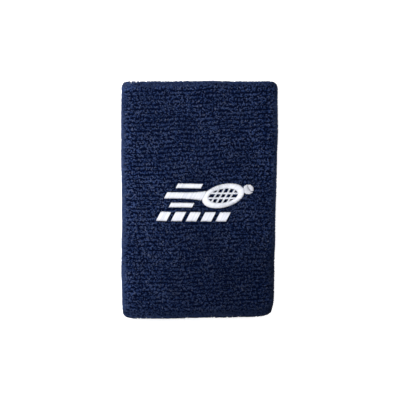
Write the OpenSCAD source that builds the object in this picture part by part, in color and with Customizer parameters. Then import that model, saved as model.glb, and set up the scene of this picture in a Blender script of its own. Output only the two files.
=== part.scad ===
// Sweat wristband for racket sports: a knitted terry tube folded back into itself,
// so that it has two plies, closed by one overlocked seam round the wrist side.
//
// Frame: X across the flat width, Y along the forearm, Z up.
// The back wall rests on Z = 0. The front wall lies over it and carries the embroidery.
// Each wall is a loop of knit in the YZ plane: outer ply, turn at one cuff,
// inner ply and turn at the other cuff. "Depth" is counted inwards from the outer face.

/* [Sleeve] */
// Length along the forearm, cuff to cuff
sleeve_length = 127; // [90:1:150]
// Width across the sleeve when it lies flat
flat_width = 82; // [77:1:100]
// Relaxed gap between the two walls, where the wrist goes
wrist_gap = 6.2; // [6:0.2:14]

/* [Knit] */
// Height of the terry loops
pile_depth = 1.3; // [0.9:0.1:1.8]
// Thickness of the ground knit that holds the loops
ground_thickness = 0.7; // [0.5:0.1:1]
// Space between the outer ply and the inner ply
ply_gap = 1.3; // [1.3:0.1:2]

/* [Elastic] */
// Diameter of one covered elastic yarn
elastic_d = 0.4; // [0.3:0.05:0.4]
// Distance between elastic yarns along the sleeve
elastic_pitch = 4.6; // [2.3:0.1:6]

/* [Seam] */
// Distance between overlock stitches
stitch_pitch = 2.4; // [2:0.1:3]
// Width of the overlock from edge to edge
overlock_width = 3.2; // [2.6:0.1:4]

/* [Embroidery] */
// How far the satin stitch stands above the pile
motif_proud = 0.35; // [0.1:0.05:0.6]
// How far the satin stitch presses into the pile
motif_sunk = 0.8; // [0.4:0.1:0.8]
// Lean of the motif, as sideways travel per unit of height
motif_slant = 0.5; // [0:0.05:0.6]
// Turn of the motif on the sleeve, in degrees
motif_turn = -1.3; // [-3:0.1:3]
// Width of a satin column
satin_width = 2.5; // [1.8:0.1:2.8]

/* [Hidden] */

$fn = 64;
eps = 0.01;

ply = pile_depth + ground_thickness;
wall = 2 * ply + ply_gap;                 // one doubled wall
height = 2 * wall + wrist_gap;            // the relaxed sleeve, lying flat
fold_r = height / 2;                      // outside radius of a side fold
gap_r = wrist_gap / 2;                    // inside radius of a side fold
half_flat = flat_width / 2 - fold_r;      // where the flat wall turns into the fold

edge_w = 0.55;                            // one raw edge of ground knit in the seam
edge_gap = 0.1;                           // between the two raw edges
edge_proud = 0.35;                        // raw edges above the pile
thread_d = 0.4;                           // sewing thread

navy = [0.09, 0.13, 0.25];
navy_dark = [0.06, 0.09, 0.18];
white = [0.93, 0.94, 0.96];

// ---------- knit profiles: first axis along the sleeve, second axis is depth ----------

module stadium(inset) {
    l = sleeve_length - 2 * inset;
    t = wall - 2 * inset;
    translate([-l / 2 + t / 2, inset]) square([l - t, t]);
    for (s = [-1, 1]) translate([s * (l / 2 - t / 2), inset + t / 2]) circle(d = t);
}

module knit_ring(from, to) {
    difference() {
        stadium(from);
        stadium(to);
    }
}

slit = 2 * edge_w + edge_gap;

module pile_profile() {
    difference() {
        knit_ring(0, pile_depth);
        translate([-slit / 2, wall - pile_depth - eps]) square([slit, pile_depth + 2 * eps]);
    }
}

// The two cut edges of the tube meet on the wrist side and stand up through the pile.
module ground_profile() {
    difference() {
        knit_ring(pile_depth, ply);
        translate([-edge_gap / 2, wall - ply - eps]) square([edge_gap, ply + 1]);
    }
    for (s = [-1, 1])
        translate([s * (edge_gap / 2 + edge_w / 2) - edge_w / 2, wall - pile_depth - eps])
            square([edge_w, pile_depth + edge_proud + eps]);
}

// ---------- where each stretch of the sleeve goes ----------

// A flat wall: the profile runs the width between the two side folds.
module flat_run() {
    rotate([90, 0, 90]) linear_extrude(height = 2 * half_flat, center = true) children();
}

module on_front() {
    translate([0, 0, height]) mirror([0, 0, 1]) children();
}

// A side fold: the same profile turned half a revolution about the fold's axis.
module fold_run(side) {
    translate([side * half_flat, 0, fold_r])
        rotate([-90, 0, 0]) rotate([0, 0, side < 0 ? 90 : -90])
            rotate_extrude(angle = 180)
                translate([fold_r, 0]) rotate(90) children();
}

// Puts a small thing at an angle round a side fold. 0 is the back wall's end of the fold
// and 180 is the front wall's. The child is drawn at the origin with +Z pointing inwards.
module round_fold(side, angle, depth) {
    translate([side * half_flat, 0, fold_r])
        rotate([0, -side * angle, 0]) translate([0, 0, -fold_r + depth]) children();
}

// ---------- elastic ----------

elastic_n = floor((sleeve_length - 2 * wall) / elastic_pitch);
function elastic_y(i) = (i - (elastic_n - 1) / 2) * elastic_pitch;
elastic_depths = [ply + elastic_d / 2 + 0.02, wall - ply - elastic_d / 2 - 0.02];

module elastic_flat() {
    for (i = [0 : elastic_n - 1], d = elastic_depths)
        translate([0, elastic_y(i), d]) rotate([0, 90, 0])
            cylinder(d = elastic_d, h = 2 * half_flat, center = true, $fn = 24);
}

module elastic_fold(side) {
    for (i = [0 : elastic_n - 1], d = elastic_depths)
        fold_run(side) translate([elastic_y(i), d]) circle(d = elastic_d, $fn = 24);
}

// ---------- closing seam ----------

stitch_n = floor(2 * half_flat / stitch_pitch);
function stitch_x(i) = (i - (stitch_n - 1) / 2) * stitch_pitch;
fold_angles = [22.5, 67.5, 112.5, 157.5];

// One looper stitch: over the raw edges and down to the pile on both sides.
module looper_stitch() {
    w = overlock_width / 2;
    leg = edge_proud + thread_d;
    rotate([90, 0, 90]) linear_extrude(height = thread_d, center = true)
        polygon([[-w, 0], [-w, leg - 0.12], [-w + 0.12, leg], [w - 0.12, leg], [w, leg - 0.12], [w, 0],
                 [w - thread_d, 0], [w - thread_d, edge_proud], [-w + thread_d, edge_proud], [-w + thread_d, 0]]);
}

needle_y = overlock_width / 2 + 0.35;

module needle_stitch(len) {
    translate([-len / 2, needle_y - 0.15, 0]) cube([len, 0.3, 0.3]);
}

module looper_flat() {
    for (i = [0 : stitch_n - 1])
        translate([stitch_x(i), 0, wall]) looper_stitch();
}

module needle_flat() {
    for (i = [0 : stitch_n - 1])
        translate([stitch_x(i), 0, wall]) needle_stitch(stitch_pitch * 0.75);
}

// ---------- embroidery outlines, seen from above ----------

head_c = [12.6, 2.1];
head_a = 10.2;
head_b = 6.4;

function lean(p) = [p[0] + motif_slant * (p[1] - head_c[1]), p[1]];
function leaned(ps) = [for (p = ps) lean(p)];
function oval(c, a, b, n) = [for (i = [0 : n - 1]) lean([c[0] + a * cos(360 * i / n), c[1] + b * sin(360 * i / n)])];

module placed() {
    rotate(motif_turn) children();
}

module racket_head_2d() {
    placed() difference() {
        polygon(oval(head_c, head_a, head_b, 56));
        polygon(oval(head_c, head_a - satin_width, head_b - satin_width * 0.9, 56));
    }
}

module racket_strings_2d() {
    a = head_a - satin_width - 0.06;
    b = head_b - satin_width * 0.9 - 0.06;
    placed() intersection() {
        polygon(oval(head_c, a, b, 56));
        union() {
            for (x = [-4.2, -1.4, 1.4, 4.2])
                polygon(leaned([[head_c[0] + x - 0.3, -8], [head_c[0] + x + 0.3, -8], [head_c[0] + x + 0.3, 12], [head_c[0] + x - 0.3, 12]]));
            for (y = [-1.3, 1.3])
                translate([0, head_c[1] + y - 0.25]) square([30, 0.5]);
        }
    }
}

module racket_handle_2d() {
    c = head_c[1];
    tip = head_c[0] - head_a - 0.15;
    placed() polygon(leaned([[-17.6, c - 1.4], [-7.5, c - 1.4], [tip - 2.6, c - 1.8], [tip, c - 2.2],
                             [tip - 0.25, c], [tip, c + 2.2], [tip - 2.6, c + 1.8], [-7.5, c + 1.4], [-17.6, c + 1.4]]));
}

module speed_lines_2d() {
    c = head_c[1];
    placed() {
        polygon(leaned([[-14.4, c + 4.1], [-1.4, c + 4.1], [-1.4, c + 6.1], [-14.4, c + 6.1]]));
        polygon(leaned([[-12.6, c - 6.1], [-0.4, c - 6.1], [-0.4, c - 4.1], [-12.6, c - 4.1]]));
    }
}

module ball_2d() {
    placed() difference() {
        translate([25.6, 5.6]) circle(r = 2.5, $fn = 40);
        translate([28.4, 7.6]) difference() {
            circle(r = 3.4, $fn = 48);
            circle(r = 2.85, $fn = 48);
        }
    }
}

dash_n = 5;
dash_pitch = 7.8;
module dash_row_2d() {
    placed() for (i = [0 : dash_n - 1])
        translate([i * dash_pitch, 0])
            polygon(leaned([[-15.4, -11.3], [-9.9, -11.3], [-9.9, -6.9], [-15.4, -6.9]]));
}

module motif_2d() {
    racket_head_2d();
    racket_strings_2d();
    racket_handle_2d();
    speed_lines_2d();
    ball_2d();
    dash_row_2d();
}

module satin() {
    translate([0, 0, height - motif_sunk])
        linear_extrude(height = motif_sunk + motif_proud) children();
}

// ---------- pieces ----------

module pile_back() { color(navy) flat_run() pile_profile(); }

module pile_front() {
    color(navy) difference() {
        on_front() flat_run() pile_profile();
        satin() racket_head_2d();
        satin() racket_strings_2d();
        satin() racket_handle_2d();
        satin() speed_lines_2d();
        satin() ball_2d();
        satin() dash_row_2d();
    }
}

module pile_left_fold() { color(navy) fold_run(-1) pile_profile(); }
module pile_right_fold() { color(navy) fold_run(1) pile_profile(); }

module ground_knit_back() { color(navy_dark) flat_run() ground_profile(); }
module ground_knit_front() { color(navy_dark) on_front() flat_run() ground_profile(); }
module ground_knit_left_fold() { color(navy_dark) fold_run(-1) ground_profile(); }
module ground_knit_right_fold() { color(navy_dark) fold_run(1) ground_profile(); }

module elastic_yarns_back() { color("dimgray") elastic_flat(); }
module elastic_yarns_front() { color("dimgray") on_front() elastic_flat(); }
module elastic_yarns_left_fold() { color("dimgray") elastic_fold(-1); }
module elastic_yarns_right_fold() { color("dimgray") elastic_fold(1); }

module seam_looper_thread_back() { color(navy_dark) looper_flat(); }
module seam_looper_thread_front() { color(navy_dark) on_front() looper_flat(); }
module looper_fold(side) {
    color(navy_dark) for (a = fold_angles) round_fold(side, a, wall) looper_stitch();
}
module seam_looper_thread_left_fold() { looper_fold(-1); }
module seam_looper_thread_right_fold() { looper_fold(1); }

module seam_needle_thread_back() { color(navy_dark) needle_flat(); }
module seam_needle_thread_front() { color(navy_dark) on_front() needle_flat(); }
module needle_fold(side) {
    color(navy_dark) for (a = fold_angles)
        translate([side * half_flat, 0, fold_r]) rotate([0, -side * (a - 16), 0])
            rotate([-90, 0, 0]) rotate([0, 0, 90 - (side < 0 ? 0 : 32)])
                rotate_extrude(angle = 32)
                    translate([gap_r - 0.3, needle_y - 0.15]) square([0.3, 0.3]);
}
module seam_needle_thread_left_fold() { needle_fold(-1); }
module seam_needle_thread_right_fold() { needle_fold(1); }

module motif_racket_head() { color(white) satin() racket_head_2d(); }
module motif_racket_strings() { color(white) satin() racket_strings_2d(); }
module motif_racket_handle() { color(white) satin() racket_handle_2d(); }
module motif_speed_lines() { color(white) satin() speed_lines_2d(); }
module motif_ball() { color(white) satin() ball_2d(); }
module motif_dash_row() { color(white) satin() dash_row_2d(); }

backing_depth = ply + elastic_d + 0.05;
backing_t = 0.2;
bobbin_t = 0.14;

// The stabiliser sheet between the plies, and the underthread that the motif is locked with.
module embroidery_backing() {
    color("whitesmoke") translate([1.5, -1.7, height - backing_depth - backing_t])
        linear_extrude(height = backing_t) {
            square([56, 20], center = true);
            square([50, 26], center = true);
            for (sx = [-1, 1], sy = [-1, 1]) translate([sx * 25, sy * 10]) circle(r = 3);
        }
}

module bobbin_stitches() {
    color(white) translate([0, 0, height - backing_depth - backing_t - bobbin_t])
        linear_extrude(height = bobbin_t) motif_2d();
}

pile_back();
pile_front();
pile_left_fold();
pile_right_fold();
ground_knit_back();
ground_knit_front();
ground_knit_left_fold();
ground_knit_right_fold();
elastic_yarns_back();
elastic_yarns_front();
elastic_yarns_left_fold();
elastic_yarns_right_fold();
seam_looper_thread_back();
seam_looper_thread_front();
seam_looper_thread_left_fold();
seam_looper_thread_right_fold();
seam_needle_thread_back();
seam_needle_thread_front();
seam_needle_thread_left_fold();
seam_needle_thread_right_fold();
motif_racket_head();
motif_racket_strings();
motif_racket_handle();
motif_speed_lines();
motif_ball();
motif_dash_row();
bobbin_stitches();
embroidery_backing();
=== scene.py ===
"""The looks of the sweat wristband: loop pile, ground knit, elastic, closing seam and satin-stitch motif.

Everything is worked out in millimetres in the part's own frame and scaled to metres when a mesh is made.
The sleeve is unrolled into three coordinates: p runs round the wrist, t runs along the knit (outer ply, cuff,
inner ply, cuff) and h is the height above the ground knit. fold() turns them into x, y, z.
"""

import math

import bpy
import numpy as np
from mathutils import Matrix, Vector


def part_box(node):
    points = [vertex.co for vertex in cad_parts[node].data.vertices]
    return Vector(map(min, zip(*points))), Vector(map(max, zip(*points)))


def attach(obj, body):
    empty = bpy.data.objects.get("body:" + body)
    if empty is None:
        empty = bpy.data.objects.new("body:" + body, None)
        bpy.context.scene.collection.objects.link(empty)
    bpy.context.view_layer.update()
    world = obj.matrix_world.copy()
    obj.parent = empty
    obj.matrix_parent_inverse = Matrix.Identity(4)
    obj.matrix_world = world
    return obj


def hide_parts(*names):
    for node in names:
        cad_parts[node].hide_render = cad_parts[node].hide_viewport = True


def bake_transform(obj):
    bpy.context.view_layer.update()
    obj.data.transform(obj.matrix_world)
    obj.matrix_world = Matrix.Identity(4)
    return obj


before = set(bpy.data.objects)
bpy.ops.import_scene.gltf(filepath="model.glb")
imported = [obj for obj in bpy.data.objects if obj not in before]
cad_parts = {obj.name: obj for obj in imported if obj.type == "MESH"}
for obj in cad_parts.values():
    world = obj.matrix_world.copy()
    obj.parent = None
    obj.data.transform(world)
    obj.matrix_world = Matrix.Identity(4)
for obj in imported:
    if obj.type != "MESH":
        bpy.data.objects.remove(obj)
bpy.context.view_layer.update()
rng = np.random.default_rng(20)

# ---------------------------------------------------------------- sizes, read from the CAD nodes, in mm


def box(node):
    lo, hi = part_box(node)
    return np.array(lo) * 1000, np.array(hi) * 1000


front_lo, front_hi = box("pile_front")
back_lo, back_hi = box("pile_back")
knit_lo, knit_hi = box("ground_knit_back")

LENGTH = front_hi[1] - front_lo[1]
HALF = (front_hi[0] - front_lo[0]) / 2  # where the flat wall turns into a side fold
HEIGHT = front_hi[2]
WALL = back_hi[2] - back_lo[2]
PILE = knit_lo[2]  # depth of the loops over the ground knit
KNIT = 0.7
R = HEIGHT / 2  # outside radius of a side fold
HW = WALL / 2
S = LENGTH - WALL  # straight run of a ply
C = math.pi * (HW - PILE)  # cuff's turn, along the ground knit
T = 2 * (S + C)
SEAM = S + C + S / 2  # the closing seam, half-way along the inner ply
HALF_WIDTH = HALF + R

# ---------------------------------------------------------------- folding the unrolled knit


def profile(t, h):
    """y and depth below the outer face, for a point t along the knit and h above the ground knit."""
    t = np.mod(t, T)
    rho = HW - PILE + h
    k1 = (t - S) / (HW - PILE)
    k2 = (t - 2 * S - C) / (HW - PILE)
    seg = [t < S, t < S + C, t < 2 * S + C]
    y = np.select(
        seg, [t - S / 2, S / 2 + rho * np.sin(k1), S / 2 - (t - S - C)], -S / 2 - rho * np.sin(k2)
    )
    d = np.select(
        seg, [PILE - h, HW - rho * np.cos(k1), WALL - PILE + h], HW + rho * np.cos(k2)
    )
    return y, d


def ground_radius(t):
    """Radius of the ground knit's surface where it goes round a side fold."""
    return R - profile(t, np.zeros_like(np.asarray(t, float)))[1]


def girth(rg):
    return 4 * HALF + 2 * math.pi * rg


def fold(p, t, h, rg):
    """The folded sleeve, before the drape. rg is the ground radius that p was measured at."""
    y, d = profile(t, h)
    p = np.mod(p, girth(rg))
    arc = math.pi * rg
    b0, b1, b2 = 2 * HALF, 2 * HALF + arc, 4 * HALF + arc
    r = R - d
    tr = math.pi - (p - b0) / rg  # right fold: from front to back
    tl = (p - b2) / rg  # left fold: from back to front
    seg = [p < b0, p < b1, p < b2]
    x = np.select(
        seg, [p - HALF, HALF + r * np.sin(tr), HALF - (p - b1)], -(HALF + r * np.sin(tl))
    )
    z = np.select(seg, [HEIGHT - d, R - r * np.cos(tr), d], R - r * np.cos(tl))
    return np.stack([x, y, z], -1)


def smooth_noise(x, y, scale, seed, octaves=2):
    """Gentle seeded waves in -1..1."""
    g = np.random.default_rng(seed)
    out = np.zeros_like(np.asarray(x, float))
    total = 0.0
    for o in range(octaves):
        amp = 0.55**o
        for _ in range(4):
            a = g.uniform(0, 2 * math.pi)
            k = 2 * math.pi / (scale / 1.9**o) * g.uniform(0.7, 1.3)
            out = out + amp * np.sin(k * (x * math.cos(a) + y * math.sin(a)) + g.uniform(0, 6.28))
            total += amp * 0.6
    return out / total


# How a real sleeve lies: one side leans in a little towards one end, and that end isn't quite square.
RIGHT_Y = np.array([-63.5, -54.0, -43.0, -27.0, -16.0, 10.8, 27.0, 43.0, 59.4, 63.5])
RIGHT_X = np.array([39.8, 40.05, 40.25, 40.8, 40.9, 41.6, 42.25, 42.1, 42.4, 42.3])
LEFT_Y = np.array([-63.5, -54.0, -43.0, -27.0, -16.0, 10.8, 27.0, 43.0, 59.4])
LEFT_X = np.array([-41.7, -41.75, -42.05, -42.0, -41.85, -42.05, -42.25, -42.3, -42.15])
END_X = np.array([-41.0, -35.0, -21.0, -5.0, 11.0, 24.5, 34.0, 41.0])
END_Y = np.array([-63.6, -63.6, -63.7, -63.4, -63.05, -62.7, -62.6, -62.5])


def drape(v):
    """Small departures of the real thing from the plain shape: outline, softer corners, squared folds, waviness."""
    x, y, z = v[..., 0].copy(), v[..., 1].copy(), v[..., 2].copy()
    # side folds pressed a little squarer than half-round
    out = np.abs(x) - HALF
    sx, sz = np.clip(out, 0, None), z - R
    r = np.hypot(sx, sz) + 1e-9
    c, s = np.abs(sz) / r, sx / r
    k = (c**2.6 + s**2.6 + 1e-12) ** (-1 / 2.6)
    k = 1 + (k - 1) * np.clip(out / 1.5, 0, 1)
    x = np.where(out > 0, np.sign(x) * (HALF + sx * k), x)
    z = R + np.where(out > 0, sz * k, sz)
    # corners
    for sgx, sgy, m, reach in ((1, 1, 0.4, 6), (-1, 1, 0.15, 5), (-1, -1, 0.6, 7), (1, -1, 1.2, 8.5)):
        ex = np.clip(1 - (HALF_WIDTH - sgx * x) / reach, 0, 1)
        ey = np.clip(1 - (LENGTH / 2 - sgy * y) / reach, 0, 1)
        w = m * (ex * ey) ** 1.0
        x = x - sgx * w
        y = y - sgy * w
    # outline
    u = (x + HALF_WIDTH) / (2 * HALF_WIDTH)
    left, right = np.interp(y, LEFT_Y, LEFT_X), np.interp(y, RIGHT_Y, RIGHT_X)
    nx = left + u * (right - left)
    low = np.interp(x, END_X, END_Y)
    vv = (y + LENGTH / 2) / LENGTH
    ny = low + vv * (LENGTH / 2 + 0.25 - low)
    # soft waviness, none of it under the table's level
    up = np.clip(z / HEIGHT, 0, 1)
    nz = z + up * 0.4 * smooth_noise(nx, ny, 46, 3)
    # the upper wall settles between the side folds, most in the middle of its length
    nz = nz - up * 0.7 * np.clip(1 - (nx / HALF_WIDTH) ** 2, 0, 1) * np.clip(1.15 - 0.5 * (ny / LENGTH * 2) ** 2, 0, 1)
    nx = nx + 0.16 * smooth_noise(nx * 0.3, ny, 34, 5)
    ny = ny + 0.14 * smooth_noise(nx, ny * 0.3, 38, 6)
    # whatever would hang below the table is pressed flat against it
    nz = np.where(nz < 0.5, 0.5 * np.exp((np.minimum(nz, 0.5) - 0.5) / 0.5), nz)
    return np.stack([nx, ny, nz], -1)


def place(p, t, h, rg):
    return drape(fold(p, t, h, rg))


# ---------------------------------------------------------------- meshes


def build(name, verts, faces, material, smooth=True, uv=None, attributes=None, slots=None):
    """A mesh object from arrays. faces is a list of (n, k) index arrays. uv is per vertex."""
    me = bpy.data.meshes.new(name)
    me.vertices.add(len(verts))
    me.vertices.foreach_set("co", (np.asarray(verts, np.float32) * 0.001).ravel())
    sizes = np.concatenate([np.full(len(f), f.shape[1], np.int32) for f in faces if len(f)])
    index = np.concatenate([f.ravel() for f in faces if len(f)]).astype(np.int32)
    starts = np.concatenate([[0], np.cumsum(sizes)[:-1]]).astype(np.int32)
    me.loops.add(len(index))
    me.loops.foreach_set("vertex_index", index)
    me.polygons.add(len(sizes))
    me.polygons.foreach_set("loop_start", starts)
    me.polygons.foreach_set("use_smooth", np.full(len(sizes), smooth, bool))
    if slots is not None:
        me.polygons.foreach_set("material_index", np.concatenate(slots).astype(np.int32))
    me.update(calc_edges=True)
    if uv is not None:
        lo, hi = uv.min(0), uv.max(0)
        flat = 0.004 + 0.992 * (uv - lo) / np.maximum(hi - lo, 1e-9)
        layer = me.uv_layers.new(name="OFBake")
        layer.data.foreach_set("uv", flat[index].astype(np.float32).ravel())
    for key, values in (attributes or {}).items():
        kind = "FLOAT" if values.ndim == 1 else "FLOAT_VECTOR"
        at = me.attributes.new(key, kind, "POINT")
        at.data.foreach_set(
            "value" if values.ndim == 1 else "vector", np.asarray(values, np.float32).ravel()
        )
    ob = bpy.data.objects.new(name, me)
    bpy.context.scene.collection.objects.link(ob)
    for m in material if isinstance(material, (list, tuple)) else [material]:
        me.materials.append(m)
    return ob


def tubes(paths, radius, sides, ref, closed=False):
    """Round yarns along paths (n, k, 3), with radius (n, k) and a reference direction (n, 3) or (n, k, 3).
    Returns vertices (n, k, sides, 3), the quads, the end caps and each vertex's length along the yarn."""
    n, k, _ = paths.shape
    if closed:
        tan = np.roll(paths, -1, 1) - np.roll(paths, 1, 1)
    else:
        tan = np.gradient(paths, axis=1)
    tan /= np.linalg.norm(tan, axis=2, keepdims=True) + 1e-12
    if ref.ndim == 2:
        ref = ref[:, None, :]
    u = np.cross(tan, ref)
    u /= np.linalg.norm(u, axis=2, keepdims=True) + 1e-12
    v = np.cross(tan, u)
    ang = 2 * math.pi * np.arange(sides) / sides
    ring = (
        u[:, :, None, :] * np.cos(ang)[None, None, :, None]
        + v[:, :, None, :] * np.sin(ang)[None, None, :, None]
    )
    verts = paths[:, :, None, :] + ring * radius[:, :, None, None]
    step = np.linalg.norm(np.diff(paths, axis=1), axis=2)
    along = np.concatenate([np.zeros((n, 1)), np.cumsum(step, 1)], 1)
    base = (np.arange(n) * k * sides)[:, None, None]
    i = np.arange(k if closed else k - 1)[None, :, None]
    j = np.arange(sides)[None, None, :]
    i2, j2 = (i + 1) % k, (j + 1) % sides
    quads = np.stack(
        [base + i * sides + j, base + i * sides + j2, base + i2 * sides + j2, base + i2 * sides + j],
        -1,
    ).reshape(-1, 4)
    caps = np.zeros((0, sides), np.int64)
    if not closed:
        first = base[:, :, 0] + np.arange(sides)[None, ::-1]
        last = base[:, :, 0] + (k - 1) * sides + np.arange(sides)[None, :]
        caps = np.concatenate([first, last])
    return verts, quads, caps, along


def bind(ob):
    """Bakes ob's transform into its mesh."""
    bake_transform(ob)
    return ob


# ---------------------------------------------------------------- materials


def material(name):
    m = bpy.data.materials.new(name)
    m.use_nodes = True
    nt = m.node_tree
    nt.nodes.clear()
    out = nt.nodes.new("ShaderNodeOutputMaterial")
    bsdf = nt.nodes.new("ShaderNodeBsdfPrincipled")
    nt.links.new(bsdf.outputs[0], out.inputs[0])
    return m, nt, bsdf


def node(nt, kind, **values):
    n = nt.nodes.new(kind)
    for key, value in values.items():
        if key in n.inputs:
            n.inputs[key].default_value = value
        else:
            setattr(n, key, value)
    return n


def attribute(nt, name, output="Fac"):
    n = nt.nodes.new("ShaderNodeAttribute")
    n.attribute_name = name
    return n.outputs[output]


def maths(nt, op, a, b=None, c=None):
    n = nt.nodes.new("ShaderNodeMath")
    n.operation = op
    for k, value in enumerate((a, b, c)):
        if value is None:
            continue
        if isinstance(value, (int, float)):
            n.inputs[k].default_value = value
        else:
            nt.links.new(value, n.inputs[k])
    return n.outputs[0]


def ramp(nt, fac, stops):
    n = nt.nodes.new("ShaderNodeValToRGB")
    while len(n.color_ramp.elements) < len(stops):
        n.color_ramp.elements.new(0.5)
    for e, (pos, col) in zip(n.color_ramp.elements, stops):
        e.position = pos
        e.color = (*col, 1)
    nt.links.new(fac, n.inputs[0])
    return n.outputs[0]


def mix(nt, fac, a, b, blend="MIX"):
    n = nt.nodes.new("ShaderNodeMix")
    n.data_type = "RGBA"
    n.blend_type = blend
    n.clamp_factor = True
    for socket, value in ((n.inputs[0], fac), (n.inputs[6], a), (n.inputs[7], b)):
        if isinstance(value, (int, float)):
            socket.default_value = value
        elif isinstance(value, tuple):
            socket.default_value = (*value, 1)
        else:
            nt.links.new(value, socket)
    return n.outputs[2]


def noise(nt, scale, detail=3.0, rough=0.55, vector=None):
    n = node(nt, "ShaderNodeTexNoise", Scale=scale, Detail=detail, Roughness=rough)
    if vector is None:
        tc = nt.nodes.new("ShaderNodeTexCoord")
        vector = tc.outputs["Object"]
    nt.links.new(vector, n.inputs["Vector"])
    return n.outputs["Fac"]


def yarn_bump(nt, bsdf, turns, strength, distance, fibre=0.5):
    """The twist of a yarn and its loose fibres, as bump. 'yarn' holds length along, angle and tone."""
    at = nt.nodes.new("ShaderNodeAttribute")
    at.attribute_name = "yarn"
    sep = nt.nodes.new("ShaderNodeSeparateXYZ")
    nt.links.new(at.outputs["Vector"], sep.inputs[0])
    phase = maths(nt, "ADD", maths(nt, "MULTIPLY", sep.outputs[0], turns), sep.outputs[1])
    ply = maths(nt, "ABSOLUTE", maths(nt, "SINE", maths(nt, "MULTIPLY", phase, 2 * math.pi)))
    fuzz = noise(nt, 4200.0, 4.0, 0.7)
    height = maths(nt, "MULTIPLY_ADD", fuzz, fibre, ply)
    b = node(nt, "ShaderNodeBump", Strength=strength, Distance=distance)
    nt.links.new(height, b.inputs["Height"])
    nt.links.new(b.outputs[0], bsdf.inputs["Normal"])
    return sep, ply, fuzz


def grey(nt, value):
    n = nt.nodes.new("ShaderNodeCombineXYZ")
    for k in range(3):
        nt.links.new(value, n.inputs[k])
    return n.outputs[0]


def terry_material(name, gain=1.0):
    """Navy cotton loops: painted shade darker and bluer towards the roots, and a tone a little paler and greyer in
    some loops at random.
    """
    m, nt, bsdf = material(name)
    sep, ply, fuzz = yarn_bump(nt, bsdf, 1.9, 0.55, 0.00016, 0.9)
    lift = attribute(nt, "lift")
    base = ramp(
        nt,
        sep.outputs[2],
        [
            (0.0, tuple(gain * c for c in (0.0030, 0.0160, 0.0780))),
            (0.40, tuple(gain * c for c in (0.0318, 0.0572, 0.1530))),
            (0.75, tuple(gain * c for c in (0.0510, 0.0715, 0.1500))),
            (1.0, tuple(gain * c for c in (0.0800, 0.0970, 0.1640))),
        ],
    )
    cloud = noise(nt, 75.0, 3.0, 0.6)
    fleck = maths(nt, "MULTIPLY_ADD", noise(nt, 2300.0, 1.0, 0.5), 1.65, 0.195)
    shade = maths(nt, "MULTIPLY", maths(nt, "MULTIPLY_ADD", cloud, 0.4, 0.80), fleck)
    root_shade_mix = maths(nt, "MULTIPLY_ADD", maths(nt, "POWER", lift, 2.2), 0.98, 0.03)
    # painted shade in the grooves of the yarn's twist
    twist_groove_shade = maths(nt, "MULTIPLY_ADD", ply, 0.5, 0.62)
    # the painted light and shade of the pile multiplies the colour here
    level = maths(nt, "MULTIPLY", maths(nt, "MULTIPLY", shade, twist_groove_shade), attribute(nt, "light_and_tone"))
    crown = mix(nt, 1.0, base, grey(nt, level), "MULTIPLY")
    # painted shade: towards the roots the colour turns darker and bluer, where less light reaches and what does has
    # passed through the yarns
    root = tuple(gain * c for c in (0.0003, 0.0040, 0.0280))
    nt.links.new(mix(nt, root_shade_mix, root, crown), bsdf.inputs["Base Color"])
    nt.links.new(maths(nt, "MULTIPLY_ADD", fuzz, 0.2, 0.70), bsdf.inputs["Roughness"])
    nt.links.new(maths(nt, "MULTIPLY", maths(nt, "POWER", lift, 2.0), 0.07), bsdf.inputs["Specular IOR Level"])
    nt.links.new(maths(nt, "MULTIPLY", maths(nt, "POWER", lift, 2.0), 0.02), bsdf.inputs["Sheen Weight"])
    bsdf.inputs["Sheen Roughness"].default_value = 0.45
    bsdf.inputs["Sheen Tint"].default_value = (0.55, 0.65, 1.0, 1)
    return m


def knit_material():
    """Plain knit: rows of V stitches from the unrolled coordinates held in 'cloth' (p, t, h)."""
    m, nt, bsdf = material("ground_knit")
    at = nt.nodes.new("ShaderNodeAttribute")
    at.attribute_name = "cloth"
    sep = nt.nodes.new("ShaderNodeSeparateXYZ")
    nt.links.new(at.outputs["Vector"], sep.inputs[0])
    wale = maths(nt, "MULTIPLY", sep.outputs[0], 2 * math.pi / 1.25)
    vee = maths(nt, "ABSOLUTE", maths(nt, "SINE", maths(nt, "MULTIPLY", wale, 0.5)))
    course = maths(nt, "MULTIPLY", sep.outputs[1], 2 * math.pi / 1.15)
    leg = maths(nt, "SINE", maths(nt, "ADD", course, maths(nt, "MULTIPLY", vee, 2.4)))
    fuzz = noise(nt, 3000.0, 4.0, 0.7)
    height = maths(nt, "ADD", maths(nt, "MULTIPLY_ADD", leg, 0.5, maths(nt, "MULTIPLY", vee, 0.7)), maths(nt, "MULTIPLY", fuzz, 0.4))
    b = node(nt, "ShaderNodeBump", Strength=0.7, Distance=0.0003)
    nt.links.new(height, b.inputs["Height"])
    nt.links.new(b.outputs[0], bsdf.inputs["Normal"])
    # painted shade: the knit's colour is darker where its stitch surface lies lower
    level = maths(nt, "MULTIPLY_ADD", height, 0.35, 0.3)
    base = ramp(
        nt,
        level,
        [(0.0, (0.0007, 0.0020, 0.009)), (0.6, (0.0020, 0.0048, 0.019)), (1.0, (0.0055, 0.0105, 0.036))],
    )
    nt.links.new(base, bsdf.inputs["Base Color"])
    nt.links.new(maths(nt, "MULTIPLY_ADD", fuzz, 0.15, 0.78), bsdf.inputs["Roughness"])
    bsdf.inputs["Specular IOR Level"].default_value = 0.0
    return m


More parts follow.
